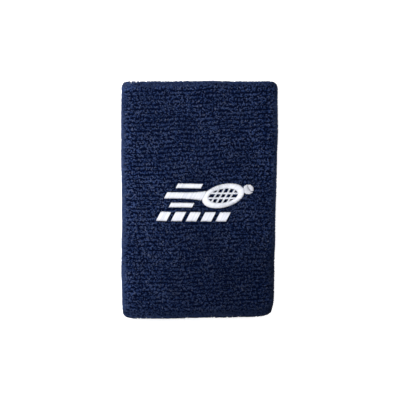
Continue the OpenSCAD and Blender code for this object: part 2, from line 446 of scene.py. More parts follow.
def thread_material(name, dark, light, turns, rough, spec=0.5, sheen=0.1, strength=0.5):
    m, nt, bsdf = material(name)
    sep, ply, fuzz = yarn_bump(nt, bsdf, turns, strength, 0.00007, 0.35)
    # painted shade darkens the thread in the grooves of its twist; its tone otherwise differs at random
    level = maths(nt, "MULTIPLY_ADD", ply, 0.35, maths(nt, "MULTIPLY_ADD", sep.outputs[2], 0.45, 0.15))
    nt.links.new(ramp(nt, level, [(0.0, dark), (0.9, light)]), bsdf.inputs["Base Color"])
    nt.links.new(maths(nt, "MULTIPLY_ADD", fuzz, 0.12, rough), bsdf.inputs["Roughness"])
    bsdf.inputs["Specular IOR Level"].default_value = spec
    bsdf.inputs["Sheen Weight"].default_value = sheen
    return m


def nonwoven_material():
    m, nt, bsdf = material("nonwoven_backing")
    fibres = noise(nt, 1500.0, 5.0, 0.75)
    cloud = noise(nt, 260.0, 2.0, 0.5)
    level = maths(nt, "MULTIPLY_ADD", fibres, 0.7, maths(nt, "MULTIPLY", cloud, 0.3))
    nt.links.new(
        ramp(nt, level, [(0.25, (0.50, 0.50, 0.49)), (0.75, (0.83, 0.83, 0.82))]),
        bsdf.inputs["Base Color"],
    )
    b = node(nt, "ShaderNodeBump", Strength=0.6, Distance=0.0001)
    nt.links.new(fibres, b.inputs["Height"])
    nt.links.new(b.outputs[0], bsdf.inputs["Normal"])
    nt.links.new(maths(nt, "MULTIPLY_ADD", fibres, 0.2, 0.7), bsdf.inputs["Roughness"])
    return m


TERRY = terry_material("terry_loops", 1.21)
GROUND = knit_material()
SATIN = thread_material("satin_thread", (0.55, 0.57, 0.64), (0.84, 0.85, 0.91), 3.2, 0.52, 0.18, 0.05, 0.35)
# the underlay is a darker grey than the satin: painted shade where it shows between the strands
UNDERLAY = thread_material("satin_underlay", (0.26, 0.28, 0.35), (0.42, 0.44, 0.52), 2.2, 0.7, 0.15, 0.05)
SEWING = thread_material("seam_thread", (0.006, 0.010, 0.032), (0.016, 0.026, 0.072), 2.6, 0.5, 0.4, 0.1)
ELASTIC = thread_material("covered_elastic", (0.035, 0.035, 0.04), (0.13, 0.13, 0.14), 5.0, 0.55, 0.35, 0.1)
BOBBIN = thread_material("bobbin_thread", (0.55, 0.55, 0.57), (0.78, 0.78, 0.80), 3.0, 0.6, 0.3, 0.1)
BACKING = nonwoven_material()

# ---------------------------------------------------------------- embroidery outlines, as in the CAD source

SLANT, TURN, SATIN_W = 0.5, math.radians(-1.3), 2.5
HEAD_C, HEAD_A, HEAD_B = (12.6, 2.1), 10.2, 6.4


def lean(q):
    q = np.asarray(q, float)
    return np.stack([q[..., 0] + SLANT * (q[..., 1] - HEAD_C[1]), q[..., 1]], -1)


def turned(q):
    c, s = math.cos(TURN), math.sin(TURN)
    return np.stack([q[..., 0] * c - q[..., 1] * s, q[..., 0] * s + q[..., 1] * c], -1)


def column(x0, x1, low, high, pitch):
    """A satin column between two edges, given as functions of x, stitched across."""
    n = max(3, int(round((x1 - x0) / pitch)))
    x = x0 + (np.arange(n) + 0.5) * (x1 - x0) / n
    return turned(lean(np.stack([x, low(x)], -1))), turned(lean(np.stack([x, high(x)], -1)))


def motif_columns():
    """Each motif piece as a list of satin columns (ends p0, ends p1, closed)."""
    pitch = 0.42
    found = {}
    n = 128
    a = 2 * math.pi * np.arange(n) / n
    rim = np.stack([HEAD_C[0] + HEAD_A * np.cos(a), HEAD_C[1] + HEAD_B * np.sin(a)], -1)
    inn = np.stack(
        [
            HEAD_C[0] + (HEAD_A - SATIN_W) * np.cos(a),
            HEAD_C[1] + (HEAD_B - SATIN_W * 0.9) * np.sin(a),
        ],
        -1,
    )
    found["motif_racket_head"] = [(turned(lean(inn)), turned(lean(rim)), True)]
    ia, ib = HEAD_A - SATIN_W - 0.1, HEAD_B - SATIN_W * 0.9 - 0.1
    strings = []
    for dy in (-1.3, 1.3):
        w = ia * math.sqrt(1 - (dy / ib) ** 2) - 0.1
        # horizontal strings are stitched across, along y
        c = HEAD_C[1] + dy
        p0, p1 = column(HEAD_C[0] - w, HEAD_C[0] + w, lambda x: 0 * x + c - 0.3, lambda x: 0 * x + c + 0.3, pitch)
        strings.append((p0, p1, False))
    for dx in (-4.2, -1.4, 1.4, 4.2):
        w = ib * math.sqrt(1 - (dx / ia) ** 2) - 0.1
        m = int(2 * w / pitch)
        y = HEAD_C[1] - w + (np.arange(m) + 0.5) * 2 * w / m
        p0 = turned(lean(np.stack([0 * y + HEAD_C[0] + dx - 0.34, y], -1)))
        p1 = turned(lean(np.stack([0 * y + HEAD_C[0] + dx + 0.34, y], -1)))
        strings.append((p0, p1, False))
    found["motif_racket_strings"] = strings
    c = HEAD_C[1]
    tip = HEAD_C[0] - HEAD_A - 0.15
    wide = lambda x: np.interp(x, [-17.6, -7.5, tip - 2.6, tip], [1.4, 1.4, 1.8, 2.2])
    found["motif_racket_handle"] = [(*column(-17.6, tip, lambda x: c - wide(x), lambda x: c + wide(x), pitch), False)]
    found["motif_speed_lines"] = [
        (*column(-14.4, -1.4, lambda x: 0 * x + c + 4.1, lambda x: 0 * x + c + 6.1, pitch), False),
        (*column(-12.6, -0.4, lambda x: 0 * x + c - 6.1, lambda x: 0 * x + c - 4.1, pitch), False),
    ]
    # ball: rows across, cut by its curved seam
    bx, by, br, ax, ay = 25.6, 5.6, 2.5, 28.4, 7.6
    left, right = [], []
    rows = int(2 * br / pitch)
    for k in range(rows):
        y = by - br + (k + 0.5) * 2 * br / rows
        w = math.sqrt(max(br**2 - (y - by) ** 2, 0))
        lo, hi = bx - w, bx + w
        outer = 3.4**2 - (y - ay) ** 2
        cut = ax - math.sqrt(outer) if outer > 0 else 1e9
        if min(hi, cut) - lo > 0.35:
            left.append(((lo, y), (min(hi, cut), y)))
        inner = 2.85**2 - (y - ay) ** 2
        if inner > 0:
            start = max(lo, ax - math.sqrt(inner))
            if hi - start > 0.35:
                right.append(((start, y), (hi, y)))
    found["motif_ball"] = [
        (turned(np.array([s[0] for s in part])), turned(np.array([s[1] for s in part])), False)
        for part in (left, right)
        if len(part) > 1
    ]
    found["motif_dash_row"] = [
        (
            *column(-15.4 + 7.8 * i, -9.9 + 7.8 * i, lambda x: 0 * x - 11.3, lambda x: 0 * x - 6.9, pitch),
            False,
        )
        for i in range(5)
    ]
    return found


MOTIF = motif_columns()
motif_points = np.concatenate(
    [
        (p0[:, None, :] * (1 - s[None, :, None]) + p1[:, None, :] * s[None, :, None]).reshape(-1, 2)
        for cols in MOTIF.values()
        for p0, p1, _ in cols
        for s in [np.linspace(0, 1, 14)]
    ]
)


def near_motif(x, y):
    """Distance in mm from each point to the motif."""
    d = np.full(len(x), 99.0)
    lo, hi = motif_points.min(0) - 3, motif_points.max(0) + 3
    pick = np.flatnonzero((x > lo[0]) & (x < hi[0]) & (y > lo[1]) & (y < hi[1]))
    for part in np.array_split(pick, max(1, len(pick) // 400)):
        q = np.stack([x[part], y[part]], -1)
        d[part] = np.sqrt(((q[:, None, :] - motif_points[None]) ** 2).sum(-1)).min(1)
    return d


# ---------------------------------------------------------------- loop pile

RIDGE = 2.25  # the elastic draws the loops into ridges about this far apart
RIDGE_LOW, RIDGE_HIGH = 2.12, 2.39  # ridges are a little closer at one end


def ridges(start, length, flip=False):
    """Middles and widths of the ridges along one ply."""
    n = int(round(length / RIDGE))
    q = RIDGE_HIGH / RIDGE_LOW
    edge = length * (q ** (np.arange(n + 1) / n) - 1) / (q - 1)
    if flip:
        edge = (length - edge)[::-1]
    return start + (edge[1:] + edge[:-1]) / 2, np.diff(edge)


def pile_rows():
    """Every half-row of loops: (kind, t, lean, spacing, size)."""
    rows = []
    for kind, start, flip, spacing in (("outer", 0, False, 0.80), ("inner", S + C, True, 1.4)):
        mid, wide = ridges(start, S, flip)
        for m, w in zip(mid, wide):
            if kind == "inner" and abs(m - SEAM) < 1.4:
                continue
            rows += [(kind, m - 0.237 * w, 0.29, spacing, 1.0), (kind, m + 0.237 * w, -0.29, spacing, 1.0)]
            # the furrow is only filled where the knit is stretched round a side fold
            rows += [(kind + "_fill", m + 0.5 * w, 0.0, spacing, 0.95)]
        if kind == "outer":
            # beside the cuffs the ridges close up
            rows += [("cuff", t, 0.0, 0.85, 0.93) for t in (mid[0] - 0.5 * wide[0], mid[0] + 0.5 * wide[0], mid[-1] + 0.5 * wide[-1])]
    for start in (S, 2 * S + C):
        m = 8
        for k in range(m):
            outside = k < 5 if start == S else k > 2
            rows += [("cuff", start + (k + 0.5) * C / m, 0.0, 0.70 if outside else 1.05, 0.95)]
    return rows


def round_noise(p, t, rg, scale, seed):
    """Gentle seeded waves that close up round the wrist."""
    g = np.random.default_rng(seed)
    u = 2 * math.pi * p / girth(rg)
    most = 175.0 / scale
    out = 0.0
    for _ in range(9):
        m = int(round(most * g.uniform(0.25, 1.25)))
        k = 2 * math.pi / scale * g.uniform(0.2, 1.0) * g.choice([-1, 1])
        out = out + np.sin(m * u + k * t + g.uniform(0, 6.28))
    return out / math.sqrt(4.5)


def outermost(p, rg):
    """1 along the outermost line of a side fold, 0 on the flats."""
    p = np.mod(p, girth(rg))
    arc = math.pi * rg
    b0, b1, b2 = 2 * HALF, 2 * HALF + arc, 4 * HALF + arc
    turn = np.select([p < b0, p < b1, p < b2], [0 * p, (p - b0) / rg, 0 * p], (p - b2) / rg)
    q = np.clip((np.sin(turn) - 0.45) / 0.4, 0, 1)
    return q * q * (3 - 2 * q)


# a loop of pile: across and up, from root to root
OMEGA = np.array(
    [
        (-0.13, -0.55), (-0.20, 0.05), (-0.29, 0.50), (-0.25, 0.88), (0.0, 1.09),
        (0.25, 0.88), (0.29, 0.50), (0.20, 0.05), (0.13, -0.55),
    ]
)
PLAINER = np.array([0, 1, 3, 4, 5, 7, 8])  # enough of its points on the wrist side
CLIMB = 1.0  # how far the ridges climb across the front and come back round the back, mm
WANDER = 0.26  # how far they stray beside that, mm


def wander(p, t, rg):
    """How far a ridge lies from a straight line. Neighbouring ridges stray together."""
    g = np.random.default_rng(21)
    u = 2 * math.pi * (p - HALF) / girth(rg)
    out = 0.0
    for m in (2, 3, 4, 5, 6, 7, 9):
        k = 2 * math.pi / g.uniform(90, 240) * g.choice([-1, 1])
        out = out + np.sin(m * u + k * t + g.uniform(0, 6.28))
    return CLIMB * np.sin(u) + WANDER * out / math.sqrt(3.5)


# Painted light and shade on the front, as multipliers on the pile's colour, -Y to +Y by -X to +X: lighter on the left,
# darker towards the lower right, as a lamp at the upper left would light it
PAINTED_LIGHT_TABLE = np.array([[1.04, 0.66, 0.55], [1.22, 0.86, 1.01], [1.07, 1.07, 1.06]])


# Painted light and shade on the pile, as a multiplier on its colour, times a little tone that differs at random
def paint_light_and_tone(p, t, rg):
    flat = fold(p, t, np.zeros(len(p)), rg)
    u = np.clip((flat[:, 0] + 28) / 28, 0, 2)
    v = np.clip((flat[:, 1] + 45) / 45, 0, 2)
    i, j = np.minimum(u.astype(int), 1), np.minimum(v.astype(int), 1)
    fu, fv = u - i, v - j
    fu, fv = fu * fu * (3 - 2 * fu), fv * fv * (3 - 2 * fv)
    a = PAINTED_LIGHT_TABLE[j, i] * (1 - fu) + PAINTED_LIGHT_TABLE[j, i + 1] * fu
    b = PAINTED_LIGHT_TABLE[j + 1, i] * (1 - fu) + PAINTED_LIGHT_TABLE[j + 1, i + 1] * fu
    front = np.clip((flat[:, 2] - R) / 3, 0, 1)
    # painted shade darkens the right turn, the lower end (most at its very edge, and in a strip a few mm above it) and
    # the top end; painted light brightens the left turn short of its outermost line, and a strip just below the top
    # end
    right = np.clip((flat[:, 0] - HALF - 0.42 * R) / (0.2 * R), 0, 1)
    left = np.clip((-flat[:, 0] - HALF) / (0.35 * R), 0, 1) * (1 - 1.1 * np.clip((-flat[:, 0] - HALF - 0.44 * R) / (0.16 * R), 0, 1))
    low = np.clip((-flat[:, 1] - LENGTH / 2 + 5.3) / 1.0, 0, 1)
    band = low * (1 - np.clip((-flat[:, 1] - LENGTH / 2 + 2.5) / 0.5, 0, 1))
    lowest = np.clip((-flat[:, 1] - LENGTH / 2 + 1.8) / 0.4, 0, 1)
    high = np.clip((flat[:, 1] - LENGTH / 2 + 3.8) / 0.8, 0, 1)
    beside = np.clip((flat[:, 1] - LENGTH / 2 + 5.4) / 0.6, 0, 1) * (1 - high)
    edge = (1 - 0.45 * right) * (1 + 0.31 * left) * (1 - 0.33 * low - 0.06 * band) * (1 - 0.45 * lowest)
    edge = edge * (1 - 0.33 * high) * (1 + 0.18 * beside)
    return edge * (1 + (a * (1 - fv) + b * fv - 1) * front) * (1 + 0.05 * round_noise(p, t, rg, 26, 31))


def make_loops():
    ps, ts, leans, rgs, scale, kinds = [], [], [], [], [], []
    number = {"outer": 0, "cuff": 1, "inner": 2, "outer_fill": 3, "inner_fill": 3}
    for kind, t, l, spacing, size in pile_rows():
        rg = float(ground_radius(np.array([t]))[0])
        length = girth(rg)
        n = int(length / spacing)
        jitter = 0.2 if kind == "cuff" else 0.24
        p = (np.arange(n) + rng.uniform(0, 1) + rng.uniform(-jitter, jitter, n)) / n * length
        if kind.endswith("fill"):
            p = p[rng.random(n) < outermost(p, np.full(n, rg))]
            n = len(p)
        ps.append(p)
        ts.append(np.full(n, t))
        leans.append(np.full(n, l))
        rgs.append(np.full(n, rg))
        scale.append(np.full(n, size))
        kinds.append(np.full(n, number[kind]))
    p, t, l, rg, size, kind = (np.concatenate(a) for a in (ps, ts, leans, rgs, scale, kinds))
    n = len(p)
    # ridges stray together, single loops a little on their own
    away = np.clip((np.abs(t - SEAM) - 2.5) / 5, 0, 1)
    t = t + away * wander(p, t, rg) + 0.18 * rng.normal(size=n)
    # loops under the satin are stitched down flat, and those beside it are pressed lower
    flat = fold(p, t, np.zeros(n), rg)
    d = np.full(n, 99.0)
    top = ((kind == 0) | (kind == 3)) & (np.mod(p, girth(rg)) < 2 * HALF)
    d[top] = near_motif(flat[top, 0], flat[top, 1])
    keep = d > 0.42
    p, t, l, rg, size, kind, d, flat = (a[keep] for a in (p, t, l, rg, size, kind, d, flat))
    n = len(p)
    out = outermost(p, rg)
    swell = round_noise(p, t, rg, 17, 11)
    vary = np.where(kind == 1, 0.05, 0.16 - 0.11 * out)
    tall = np.clip(1.0 + vary * rng.normal(size=n) + 0.06 * swell + 0.10 * out, 0.6, 1.42) * size
    tall *= np.clip(0.62 + 0.3 * d, 0, 1)
    wide = np.clip(1.0 + 0.2 * rng.normal(size=n), 0.6, 1.5)
    spin = rng.normal(0, math.radians(48), n)
    # the turns of the cuffs and side folds are worn and brushed evener than the flats
    calm = np.maximum(np.clip((flat[:, 1] - LENGTH / 2 + 3.6) / 0.9, 0, 1), np.clip((-flat[:, 1] - LENGTH / 2 + 4.6) / 0.9, 0, 1))
    calm = np.where(kind == 2, 0, np.maximum(calm, np.where(flat[:, 0] < 0, 0.8, 0.5) * out))
    lean_t = l * (1 - 0.75 * out) + (0.42 - 0.2 * np.maximum(out, calm)) * rng.normal(size=n)
    lean_p = (0.48 - 0.2 * np.maximum(out, calm)) * rng.normal(size=n)
    # folded-over top, so that no two loops are alike
    side = rng.normal(0, 0.11, (n, len(OMEGA)))
    side[:, [0, -1]] = 0
    up = rng.normal(0, 0.035, (n, len(OMEGA)))
    twist = rng.normal(0, 0.6, n)  # the yarn's own twist turns the crown
    a = OMEGA[None, :, 0] * wide[:, None]
    h = OMEGA[None, :, 1] * tall[:, None] + up
    h = np.where(OMEGA[None, :, 1] < 0, OMEGA[None, :, 1], h)
    rise = np.clip(h, 0, None)
    turn = spin[:, None] + twist[:, None] * rise
    bend = rise**1.4
    da = a * np.cos(turn) + bend * lean_p[:, None]
    dt = a * np.sin(turn) + bend * lean_t[:, None] + side
    # a loop that leans over ends up lower
    h = np.where(h > 0, h * (1 - 0.10 * (lean_t**2 + lean_p**2))[:, None], h)
    K = OMEGA.shape[0]
    pp, tt, hh, gg = p[:, None] + da, t[:, None] + dt, h, np.repeat(rg[:, None], K, 1)
    pts = place(pp, tt, hh, gg)
    # reference direction: along the knit
    e = 0.05
    z0 = np.zeros(n)
    ref = place(p, t + e, z0, rg) - place(p, t - e, z0, rg)
    ref /= np.linalg.norm(ref, axis=1, keepdims=True)
    radius = np.clip(0.208 * (1 + 0.13 * rng.normal(size=n)), 0.15, 0.31)
    rad = radius[:, None] * (1 + 0.08 * rng.normal(size=(n, K)))
    # dye and fuzz take unevenly from loop to loop, and a little along each
    tone = 0.43 + 0.085 * (1 - 0.5 * calm) * rng.normal(size=n) + 0.03 * swell
    lucky = rng.random(n) < 0.05 * (1 - calm)
    tone[lucky] = rng.uniform(0.8, 1.05, lucky.sum())
    tone = np.clip(tone[:, None] + (0.30 - 0.2 * calm)[:, None] * rng.normal(size=(n, K)), 0, 1)
    # lift is each point's share of the height up its loop, from which the material paints shade towards the roots; on
    # the calm turns the painted root shade is made lighter, less so in the strip just above the lower cuff
    lift = np.clip((hh + 0.1) / 1.2, 0, 1)
    beside = np.clip((-flat[:, 1] - LENGTH / 2 + 5.3) / 1.0, 0, 1) * (1 - np.clip((-flat[:, 1] - LENGTH / 2 + 2.5) / 0.5, 0, 1))
    lift = lift + (1 - lift) * ((0.5 - 0.4 * beside) * calm)[:, None]
    # painted light and shade, with a little random tone, for each loop
    light_and_tone = paint_light_and_tone(p, t, rg)
    return dict(p=p, t=t, rg=rg, kind=kind, pts=pts, ref=ref, rad=rad, tone=tone, lift=lift, light_and_tone=light_and_tone)


def loop_piece(name, L, pick, keep, sides=5):
    pts, ref, rad = L["pts"][pick][:, keep], L["ref"][pick], L["rad"][pick][:, keep]
    v, quads, caps, along = tubes(pts, rad, sides, ref)
    n, K = along.shape
    yarn = np.zeros((n, K, sides, 3))
    yarn[..., 0] = along[:, :, None]
    yarn[..., 1] = (np.arange(sides) / sides)[None, None, :]
    yarn[..., 2] = L["tone"][pick][:, keep, None]
    lift = np.repeat(L["lift"][pick][:, keep].ravel(), sides)
    # each loop has its own spot in the UV map, laid out as on the unrolled knit
    p = np.mod(L["p"][pick] - L["p0"], girth(L["rg"][pick]))
    tt = L["t"][pick]
    uv = np.zeros((n, K, sides, 2))
    uv[..., 0] = p[:, None, None] + (np.linspace(-0.5, 0.5, K) * 1.0)[None, :, None]
    uv[..., 1] = tt[:, None, None] + (np.linspace(-0.45, 0.45, sides))[None, None, :]
    ob = build(
        name, v.reshape(-1, 3), [quads, caps], TERRY, True, uv.reshape(-1, 2),
        {"yarn": yarn.reshape(-1, 3), "lift": lift, "light_and_tone": np.repeat(L["light_and_tone"][pick], K * sides)},
    )
    bind(ob)
    return ob


def make_pile():
    L = make_loops()
    g = girth(L["rg"])
    pm = np.mod(L["p"], g)
    arc = math.pi * L["rg"]
    b0, b1, b2 = 2 * HALF, 2 * HALF + arc, 4 * HALF + arc
    wall = np.select([pm < b0, pm < b1, pm < b2], [0, 1, 2], 3)  # front, right, back, left
    t = np.mod(L["t"], T)
    outer = (t < S + C / 2) | (t >= T - C / 2)
    # half-way round each cuff is where the outside ends
    y, d = profile(L["t"], np.zeros(len(t)))
    made = {}
    names = ["front", "right_fold", "back", "left_fold"]
    for w, wn in enumerate(names):
        for side, mask in (("outer", outer), ("inner", ~outer)):
            pick = np.flatnonzero((wall == w) & mask)
            keep = np.arange(len(OMEGA)) if side == "outer" else PLAINER
            parts = -(-len(pick) // (2250 if side == "outer" else 2950))  # a piece stays a workable size
            order = pick[np.argsort(y[pick], kind="stable")]
            for k, part in enumerate(np.array_split(order, parts)):
                tag = "" if parts == 1 else "_" + "abcdef"[k]
                L["p0"] = float(0)
                made[(wn, side, k)] = loop_piece(f"loops_{wn}_{side}{tag}", L, np.sort(part), keep)
    for w, wn in enumerate(names):
        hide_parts(f"pile_{wn}")
    print("LOOPS", len(t), "pieces", len(made), [len(o.data.polygons) for o in made.values()])
    return made


# ---------------------------------------------------------------- ground knit


def make_ground():
    """The knitted tube itself, a sheet folded into itself, whose cut edges stand up at the closing seam."""
    e0, ew, up = 0.05, 0.55, PILE + 0.35
    start, end = SEAM + e0, SEAM + T - e0
    n_out = 300
    t_out = np.linspace(start + ew, end - ew, n_out)
    outer = np.stack([t_out, np.full_like(t_out, -0.02)], -1)
    t_in = np.linspace(end, start, 110)
    inner = np.stack([t_in, np.full_like(t_in, -KNIT)], -1)
    rise_a = [(end - ew, 0.6), (end - ew + 0.05, up), (end - 0.05, up), (end, 0.6)]
    rise_b = [(start, 0.6), (start + 0.05, up), (start + ew - 0.05, up), (start + ew, 0.6)]
    sec = np.concatenate([outer, rise_a, inner, rise_b])
    n_p = 232
    f = np.arange(n_p) / n_p  # share of the way round, not length, so that it closes at every depth
    k = len(sec)
    t = np.repeat(sec[None, :, 0], n_p, 0)
    h = np.repeat(sec[None, :, 1], n_p, 0)
    rg = ground_radius(t)
    # even steps on the flats, and the folds shared the same way at every depth
    ref = girth(5.8)
    q = f * ref
    arc_ref = math.pi * 5.8
    b0, b1, b2 = 2 * HALF, 2 * HALF + arc_ref, 4 * HALF + arc_ref
    q2 = np.repeat(q[:, None], k, 1)
    arc = math.pi * rg
    p = np.select(
        [q2 < b0, q2 < b1, q2 < b2],
        [q2, 2 * HALF + (q2 - b0) / arc_ref * arc, 2 * HALF + arc + (q2 - b1)],
        4 * HALF + arc + (q2 - b2) / arc_ref * arc,
    )
    fray = np.where(h > 1.0, 0.12 * rng.normal(size=h.shape), 0)
    v = place(p, t, h + fray, rg)
    i = np.arange(n_p)[:, None]
    j = np.arange(k)[None, :]
    i2, j2 = (i + 1) % n_p, (j + 1) % k
    quads = np.stack([i * k + j, i * k + j2, i2 * k + j2, i2 * k + j], -1).reshape(-1, 4)[:, ::-1]
    cloth = np.stack([p, t, h], -1).reshape(-1, 3)
    # map: along the girth by along the section
    run = np.concatenate([[0], np.cumsum(np.linalg.norm(np.diff(sec, axis=0), axis=1))])
    corner_u, corner_v = (np.stack([i + 0 * j, i + 0 * j, i + 1 + 0 * j, i + 1 + 0 * j], -1).reshape(-1, 4)[:, ::-1],
                          np.stack([j + 0 * i, j + 1 + 0 * i, j + 1 + 0 * i, j + 0 * i], -1).reshape(-1, 4)[:, ::-1])
    run = np.append(run, run[-1] + 0.5)
    ob = build("ground_knit_tube", v.reshape(-1, 3), [quads], GROUND, True, None, {"cloth": cloth})
    layer = ob.data.uv_layers.new(name="OFBake")
    uv = np.stack([corner_u / n_p, run[corner_v] / run[-1]], -1)
    layer.data.foreach_set("uv", uv.astype(np.float32).ravel())
    bind(ob)
    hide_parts("ground_knit_back", "ground_knit_front", "ground_knit_left_fold", "ground_knit_right_fold")
    return ob


# ---------------------------------------------------------------- threads that run round the sleeve


def round_thread(name, p, t, h, rg, radius, sides, mat, node_names, tones=0.5):
    """Closed yarns round the sleeve. p, t, h are (n, k)."""
    pts = place(p, t, h, rg)
    up = place(p, t, h + 0.1, rg) - pts
    up /= np.linalg.norm(up, axis=2, keepdims=True)
    v, quads, caps, along = tubes(pts, np.full(pts.shape[:2], radius), sides, up, closed=True)
    n, K = along.shape
    yarn = np.zeros((n, K, sides, 3))
    yarn[..., 0] = along[:, :, None]
    yarn[..., 1] = (np.arange(sides) / sides)[None, None, :]
    yarn[..., 2] = tones
    uv = np.zeros((n, K, sides, 2))
    uv[..., 0] = np.linspace(0, 1, K)[None, :, None]
    uv[..., 1] = np.arange(n)[:, None, None] + np.linspace(0, 0.8, sides)[None, None, :]
    ob = build(name, v.reshape(-1, 3), [quads], mat, True, uv.reshape(-1, 2), {"yarn": yarn.reshape(-1, 3)})
    bind(ob)
    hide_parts(*node_names)
    return ob


def sections(base):
    return [f"{base}_{s}" for s in ("back", "front", "left_fold", "right_fold")]


def make_elastic():
    count = int((LENGTH - 2 * WALL) // 4.6)
    ys = (np.arange(count) - (count - 1) / 2) * 4.6
    ts = np.concatenate([ys + S / 2, S + C + S / 2 - ys])
    rg = ground_radius(ts)
    k = 264
    f = np.arange(k) / k
    p = girth(1.0) * 0 + f[None, :] * girth(rg)[:, None]
    zig = 0.42 * np.sin(2 * math.pi * f * 66)[None, :]
    t = ts[:, None] + zig
    h = np.full_like(t, -(KNIT + 0.25))
    return round_thread(
        "covered_elastic_yarns", p, t, h, np.repeat(rg[:, None], k, 1), 0.2, 5, ELASTIC, sections("elastic_yarns")
    )


def make_seam():
    rg = float(ground_radius(np.array([SEAM]))[0])
    g = girth(rg)
    n = int(g / 2.4)
    k = n * 14
    f = np.arange(k) / k
    ph = f * n * 2 * math.pi
    tri = np.clip(1.25 * np.sin(ph), -1, 1)
    dt = 1.6 * tri
    ridge = np.interp(np.abs(dt), [0, 0.62, 0.95, 1.6], [1.0, 1.0, 0.35, 0.0])
    h = PILE - 0.12 + 0.72 * ridge
    rgk = np.full((1, k), rg)
    loop = round_thread(
        "overlock_looper_thread", f[None] * g, (SEAM + dt)[None], h[None], rgk, 0.19, 6, SEWING,
        sections("seam_looper_thread"), 0.7,
    )
    dive = PILE - 0.02 + 0.16 * np.sin(ph)
    needle = round_thread(
        "overlock_needle_thread", f[None] * g, np.full((1, k), SEAM - 1.95), dive[None], rgk, 0.15, 6, SEWING,
        sections("seam_needle_thread"), 0.6,
    )
    return loop, needle


# ---------------------------------------------------------------- embroidery

CROWN_T = np.array([-0.03, 0.02, 0.09, 0.22, 0.42, 0.58, 0.78, 0.91, 0.98, 1.03])


def crown(s, width):
    """Height of a satin strand over the pile's face, for a share s of the way across."""
    top = np.clip(0.20 + 0.07 * width, 0.2, 0.44)
    e = np.clip(1 - np.abs(2 * s - 1) ** (3.0 + 0.6 * np.minimum(width, 4)), 0, 1)
    return -0.42 + (top + 0.42) * e


def make_satin(node_name, cols):
    """Strands of satin stitch over a crowned underlay, as lists of arrays."""
    all_v, all_q, all_c, all_y, slots_q, slots_c, ends, offset = [], [], [], [], [], [], [], 0
    for p0, p1, closed in cols:
        n = len(p0)
        width = np.linalg.norm(p1 - p0, axis=1)
        along = (p1 - p0) / width[:, None]
        reach = np.minimum(0.12, 0.05 * width)
        jit = rng.normal(0, 0.05, (n, 2)) * np.minimum(1, width / 1.5)[:, None]
        a = p0 - along * (reach + jit[:, 0])[:, None]
        b = p1 + along * (reach + jit[:, 1])[:, None]
        run = np.arange(n) * 0.42
        band = np.sin(run * 3.3 + rng.uniform(0, 6)) + np.sin(run * 5.1 + rng.uniform(0, 6)) + np.sin(run * 1.7)
        tone = np.clip(0.58 + 0.14 * band + 0.28 * rng.normal(size=n), 0, 1)
        # satin runs down and back, so neighbouring strands cross a little
        s = CROWN_T
        xy = a[:, None, :] * (1 - s[None, :, None]) + b[:, None, :] * s[None, :, None]
        z = HEIGHT + crown(np.clip(s, 0, 1)[None, :], width[:, None]) + rng.normal(0, 0.035, (n, 1)) + 0.014 * band[:, None]
        z = np.where((s < 0)[None, :] | (s > 1)[None, :], HEIGHT - 0.9, z)
        pts = drape(np.concatenate([xy, z[..., None]], -1))
        ref = np.tile([0.0, 0.0, 1.0], (n, 1))
        v, q, c, le = tubes(pts, np.full(pts.shape[:2], 0.205) * rng.uniform(0.88, 1.1, (n, 1)), 6, ref + 1e-3)
        k = len(s)
        yarn = np.zeros((n, k, 6, 3))
        yarn[..., 0], yarn[..., 1], yarn[..., 2] = le[:, :, None], (np.arange(6) / 6)[None, None, :], tone[:, None, None]
        all_v.append(v.reshape(-1, 3)), all_y.append(yarn.reshape(-1, 3))
        all_q.append(q + offset), all_c.append(c + offset)
        slots_q.append(np.zeros(len(q))), slots_c.append(np.zeros(len(c)))
        offset += n * k * 6
        # underlay: a closed crowned strip below the strands
        if width.min() > 0.9:
            us = np.array([0.07, 0.2, 0.38, 0.62, 0.8, 0.93])
            m = len(us)
            xy = p0[:, None, :] * (1 - us[None, :, None]) + p1[:, None, :] * us[None, :, None]
            z = HEIGHT + crown(us[None, :], width[:, None]) - 0.2
            zl = np.full_like(z, HEIGHT - 0.9)
            top = drape(np.concatenate([xy, z[..., None]], -1))
            low = drape(np.concatenate([xy, zl[..., None]], -1))[:, ::-1]
            ring = np.concatenate([top, low], 1)  # (n, 2m, 3)
            r = 2 * m
            i = np.arange(n if closed else n - 1)[:, None]
            j = np.arange(r)[None, :]
            i2, j2 = (i + 1) % n, (j + 1) % r
            qq = np.stack([i * r + j, i2 * r + j, i2 * r + j2, i * r + j2], -1).reshape(-1, 4)
            all_v.append(ring.reshape(-1, 3))
            yy = np.zeros((n, r, 3))
            yy[..., 0], yy[..., 1], yy[..., 2] = np.arange(n)[:, None] * 0.36, np.linspace(0, 1, r)[None, :], 0.4
            all_y.append(yy.reshape(-1, 3))
            all_q.append(qq + offset)
            slots_q.append(np.ones(len(qq)))
            if not closed:
                ends.append(np.stack([np.arange(r)[::-1], (n - 1) * r + np.arange(r)]) + offset)
            offset += n * r
    return all_v, all_q, all_c, all_y, slots_q, slots_c, ends


def make_motif():
    made = {}
    for name, cols in MOTIF.items():
        v, q, c, y, sq, sc, ends = make_satin(name, cols)
        faces = [np.concatenate(q), np.concatenate(c)]
        slots = [np.concatenate(sq), np.concatenate(sc)]
        if ends:
            faces.append(np.concatenate(ends))
            slots.append(np.ones(len(faces[-1])))
        v, y = np.concatenate(v), np.concatenate(y)
        ob = build("satin_" + name[6:], v, faces, [SATIN, UNDERLAY], True, v[:, :2].copy(), {"yarn": y}, slots)
        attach(ob, "front_wall")
        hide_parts(name)
        made[name] = ob
    return made


